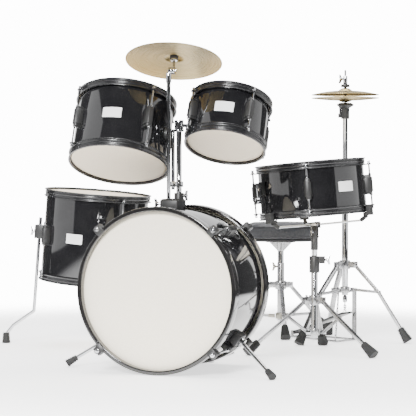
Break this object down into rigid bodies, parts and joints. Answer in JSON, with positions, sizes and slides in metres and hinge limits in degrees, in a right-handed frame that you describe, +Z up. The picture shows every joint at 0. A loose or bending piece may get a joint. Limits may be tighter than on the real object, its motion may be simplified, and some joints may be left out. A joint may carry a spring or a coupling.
{
  "type": "acoustic drum kit",
  "caption": "Compact acoustic drum kit with kick, rack and floor toms, snare on stand, hi-hat, crash, pedals and round stool; heights, tilts and stand fold adjust.",
  "frame": {"origin": "middle of the kit's footprint on the floor", "axes": "X across the kit, left tom side negative; Y from the audience to the player; Z up"},
  "size_m": [1.1702, 1.2668, 0.8387],
  "materials": {
    "gloss_black_shell": "high gloss black wrap on wood",
    "coated_head": "coated drum head",
    "black_metal": "satin black paint",
    "black_plastic": "black moulded",
    "chrome": "chrome plated steel",
    "satin_steel": "satin plated steel",
    "brass": "lathed brass",
    "grey_vinyl": "padded dark grey vinyl"
  },
  "bodies": {
    "kit_base": {"bass_shell": "gloss_black_shell", "bass_heads": "coated_head", "bass_hoops": "gloss_black_shell", "bass_lugs": "black_plastic", "bass_brackets": "black_plastic", "snare_stand_tube": "chrome", "hihat_stand_base": "chrome", "throne_base": "chrome", "bass_pedal_frame": "chrome", "floor_tom_shell": "gloss_black_shell", "floor_tom_heads": "coated_head", "floor_tom_hoops": "black_metal", "floor_tom_lugs": "black_plastic", "floor_tom_rods": "chrome"},
    "snare_drum": {"snare_basket": "black_plastic", "snare_shell": "gloss_black_shell", "snare_heads": "coated_head", "snare_hoops": "black_metal", "snare_lugs": "black_plastic", "snare_rods": "chrome"},
    "tom_left": {"tom_left_shell": "gloss_black_shell", "tom_left_heads": "coated_head", "tom_left_hoops": "black_metal", "tom_left_lugs": "black_plastic", "tom_left_rods": "chrome"},
    "tom_right": {"tom_right_shell": "gloss_black_shell", "tom_right_heads": "coated_head", "tom_right_hoops": "black_metal", "tom_right_lugs": "black_plastic", "tom_right_rods": "chrome"},
    "tom_post": {"tom_post": "chrome"},
    "tom_arm_left": {"tom_arm_left": "chrome"},
    "tom_arm_right": {"tom_arm_right": "chrome"},
    "crash_pole": {"crash_pole": "chrome"},
    "crash_tilter": {"crash_tilter": "chrome"},
    "crash_cymbal": {"crash_cymbal": "brass"},
    "floor_tom_leg_1": {"floor_tom_leg_1": "chrome"},
    "floor_tom_leg_2": {"floor_tom_leg_2": "chrome"},
    "floor_tom_leg_3": {"floor_tom_leg_3": "chrome"},
    "snare_throw_off": {"snare_throw_off": "chrome"},
    "snare_stand_rod": {"snare_stand_rod": "chrome"},
    "snare_stand_collar": {"snare_stand_collar": "chrome"},
    "snare_stand_leg_1": {"snare_stand_leg_1": "satin_steel"},
    "snare_stand_strut_1": {"snare_stand_strut_1": "satin_steel"},
    "snare_stand_leg_2": {"snare_stand_leg_2": "satin_steel"},
    "snare_stand_strut_2": {"snare_stand_strut_2": "satin_steel"},
    "snare_stand_leg_3": {"snare_stand_leg_3": "satin_steel"},
    "snare_stand_strut_3": {"snare_stand_strut_3": "satin_steel"},
    "hihat_upper_tube": {"hihat_upper_tube": "chrome"},
    "hihat_pull_rod": {"hihat_pull_rod": "chrome"},
    "hihat_clutch": {"hihat_clutch": "chrome"},
    "hihat_top_cymbal": {"hihat_top_cymbal": "brass"},
    "hihat_bottom_cymbal": {"hihat_bottom_cymbal": "brass"},
    "hihat_pedal_board": {"hihat_pedal_board": "black_metal"},
    "throne_post": {"throne_post": "chrome"},
    "throne_seat": {"throne_seat": "grey_vinyl"},
    "bass_pedal_board": {"bass_pedal_board": "chrome"},
    "bass_pedal_beater": {"bass_pedal_beater": "chrome"},
    "bass_spur_left": {"bass_spur_left": "chrome"},
    "bass_spur_right": {"bass_spur_right": "chrome"}
  },
  "joints": [
    {"name": "spur_left_fold", "type": "hinge", "parent": "kit_base", "child": "bass_spur_left", "pos_m": [-0.05314, -0.47337, 0.07812], "axis": [-0.7986, 0, -0.6018], "range_deg": [-25, 25]},
    {"name": "spur_right_fold", "type": "hinge", "parent": "kit_base", "child": "bass_spur_right", "pos_m": [0.30353, -0.47337, 0.07812], "axis": [0.7986, 0, -0.6018], "range_deg": [-25, 25]},
    {"name": "tom_post_height", "type": "slide", "parent": "kit_base", "child": "tom_post", "axis": [0, 0, 1], "range_m": [-0.012, 0.02]},
    {"name": "tom_left_swivel", "type": "hinge", "parent": "tom_post", "child": "tom_arm_left", "pos_m": [0.11319, -0.45512, 0.61], "axis": [0, 0, 1], "range_deg": [-10, 4]},
    {"name": "tom_left_tilt", "type": "hinge", "parent": "tom_arm_left", "child": "tom_left", "pos_m": [-0.02797, -0.45512, 0.61], "axis": [1, 0, 0], "range_deg": [-10, 10]},
    {"name": "tom_right_swivel", "type": "hinge", "parent": "tom_post", "child": "tom_arm_right", "pos_m": [0.13619, -0.47337, 0.634], "axis": [0, 0, 1], "range_deg": [-10, 5]},
    {"name": "tom_right_tilt", "type": "hinge", "parent": "tom_arm_right", "child": "tom_right", "pos_m": [0.24532, -0.39668, 0.634], "axis": [1, 0, 0], "range_deg": [-10, 10]},
    {"name": "crash_height", "type": "slide", "parent": "kit_base", "child": "crash_pole", "axis": [0, 0, 1], "range_m": [-0.02, 0.02]},
    {"name": "crash_tilt", "type": "hinge", "parent": "crash_pole", "child": "crash_tilter", "pos_m": [0.13058, -0.50168, 0.7724], "axis": [1, 0, 0], "range_deg": [-15, 15]},
    {"name": "crash_spin", "type": "hinge", "parent": "crash_tilter", "child": "crash_cymbal", "pos_m": [0.12919, -0.49337, 0.797], "axis": [-0.0535, 0.3195, 0.9461], "continuous": true},
    {"name": "floor_tom_leg_1_height", "type": "slide", "parent": "kit_base", "child": "floor_tom_leg_1", "axis": [0.0864, -0.0115, 0.9962], "range_m": [-0.02, 0.02]},
    {"name": "floor_tom_leg_2_height", "type": "slide", "parent": "kit_base", "child": "floor_tom_leg_2", "axis": [0.0864, -0.0115, 0.9962], "range_m": [-0.02, 0.02]},
    {"name": "floor_tom_leg_3_height", "type": "slide", "parent": "kit_base", "child": "floor_tom_leg_3", "axis": [0.0864, -0.0115, 0.9962], "range_m": [-0.02, 0.02]},
    {"name": "snare_height", "type": "slide", "parent": "kit_base", "child": "snare_stand_rod", "axis": [0, 0, 1], "range_m": [-0.015, 0.04]},
    {"name": "snare_tilt", "type": "hinge", "parent": "snare_stand_rod", "child": "snare_drum", "pos_m": [0.37219, 0.00063, 0.345], "axis": [0, 1, 0], "range_deg": [-12, 12]},
    {"name": "throw_off_lever", "type": "hinge", "parent": "snare_drum", "child": "snare_throw_off", "pos_m": [0.23072, -0.07966, 0.47477], "axis": [0.6403, -0.7664, 0.0522], "range_deg": [-60, 0]},
    {"name": "snare_stand_fold", "type": "slide", "parent": "kit_base", "child": "snare_stand_collar", "axis": [0, 0, 1], "range_m": [0, 0.0524]},
    {"name": "snare_leg_1_fold", "type": "hinge", "parent": "snare_stand_collar", "child": "snare_stand_leg_1", "pos_m": [0.3963, -0.00911, 0.15], "axis": [0.3746, 0.9272, 0], "range_deg": [-0.5, 40.5]},
    {"name": "snare_strut_1_fold", "type": "hinge", "parent": "kit_base", "child": "snare_stand_strut_1", "pos_m": [0.39444, -0.00836, 0.06], "axis": [-0.3746, -0.9272, 0], "range_deg": [-0.5, 41.16]},
    {"name": "snare_leg_2_fold", "type": "hinge", "parent": "snare_stand_collar", "child": "snare_stand_leg_2", "pos_m": [0.36857, 0.02638, 0.15], "axis": [-0.9903, -0.1392, 0], "range_deg": [-0.5, 40.5]},
    {"name": "snare_strut_2_fold", "type": "hinge", "parent": "kit_base", "child": "snare_stand_strut_2", "pos_m": [0.36885, 0.0244, 0.06], "axis": [0.9903, 0.1392, 0], "range_deg": [-0.5, 41.16]},
    {"name": "snare_leg_3_fold", "type": "hinge", "parent": "snare_stand_collar", "child": "snare_stand_leg_3", "pos_m": [0.3517, -0.01538, 0.15], "axis": [0.6157, -0.788, 0], "range_deg": [-0.5, 40.5]},
    {"name": "snare_strut_3_fold", "type": "hinge", "parent": "kit_base", "child": "snare_stand_strut_3", "pos_m": [0.35328, -0.01415, 0.06], "axis": [-0.6157, 0.788, 0], "range_deg": [-0.5, 41.16]},
    {"name": "hihat_height", "type": "slide", "parent": "kit_base", "child": "hihat_upper_tube", "axis": [0, 0, 1], "range_m": [-0.05, 0.012]},
    {"name": "hihat_pedal", "type": "hinge", "parent": "kit_base", "child": "hihat_pedal_board", "pos_m": [0.20865, 0.42193, 0.016], "axis": [-0.4431, -0.8965, 0], "range_deg": [-3.05, 0], "stiffness_Nm_per_rad": 12, "springref_deg": 8.59},
    {"name": "hihat_rod", "type": "slide", "parent": "kit_base", "child": "hihat_pull_rod", "axis": [0, 0, 1], "range_m": [-0.0105, 0.0005]},
    {"name": "hihat_clutch_height", "type": "slide", "parent": "hihat_pull_rod", "child": "hihat_clutch", "axis": [0, 0, 1], "range_m": [-0.051, 0.013]},
    {"name": "hihat_top_spin", "type": "hinge", "parent": "hihat_clutch", "child": "hihat_top_cymbal", "pos_m": [0.37719, 0.33863, 0.745], "axis": [0, 0, 1], "continuous": true},
    {"name": "hihat_bottom_spin", "type": "hinge", "parent": "hihat_upper_tube", "child": "hihat_bottom_cymbal", "pos_m": [0.37719, 0.33863, 0.733], "axis": [0, 0, 1], "continuous": true},
    {"name": "throne_height", "type": "slide", "parent": "kit_base", "child": "throne_post", "axis": [0, 0, 1], "range_m": [-0.03, 0.06]},
    {"name": "seat_turn", "type": "hinge", "parent": "throne_post", "child": "throne_seat", "pos_m": [0.13519, 0.47663, 0.299], "axis": [0, 0, 1], "continuous": true},
    {"name": "bass_pedal_beater_swing", "type": "hinge", "parent": "kit_base", "child": "bass_pedal_beater", "pos_m": [0.12519, -0.30537, 0.15], "axis": [1, 0, 0], "range_deg": [0, 48], "stiffness_Nm_per_rad": 0.6, "springref_deg": -28.65},
    {"name": "bass_pedal_press", "type": "hinge", "parent": "kit_base", "child": "bass_pedal_board", "pos_m": [0.12519, -0.10337, 0.014], "axis": [1, 0, 0], "range_deg": [-0.05, 6.55]}
  ],
  "couplings": [
    {"joint": "snare_leg_1_fold", "follows": "snare_stand_fold", "rad_per_m": 13.322},
    {"joint": "snare_strut_1_fold", "follows": "snare_stand_fold", "rad_per_m": 13.542},
    {"joint": "snare_leg_2_fold", "follows": "snare_stand_fold", "rad_per_m": 13.322},
    {"joint": "snare_strut_2_fold", "follows": "snare_stand_fold", "rad_per_m": 13.542},
    {"joint": "snare_leg_3_fold", "follows": "snare_stand_fold", "rad_per_m": 13.322},
    {"joint": "snare_strut_3_fold", "follows": "snare_stand_fold", "rad_per_m": 13.542},
    {"joint": "hihat_rod", "follows": "hihat_pedal", "m_per_rad": 0.188},
    {"joint": "hihat_clutch_height", "follows": "hihat_height", "ratio": 1},
    {"joint": "bass_pedal_press", "follows": "bass_pedal_beater_swing", "ratio": 0.13542}
  ]
}
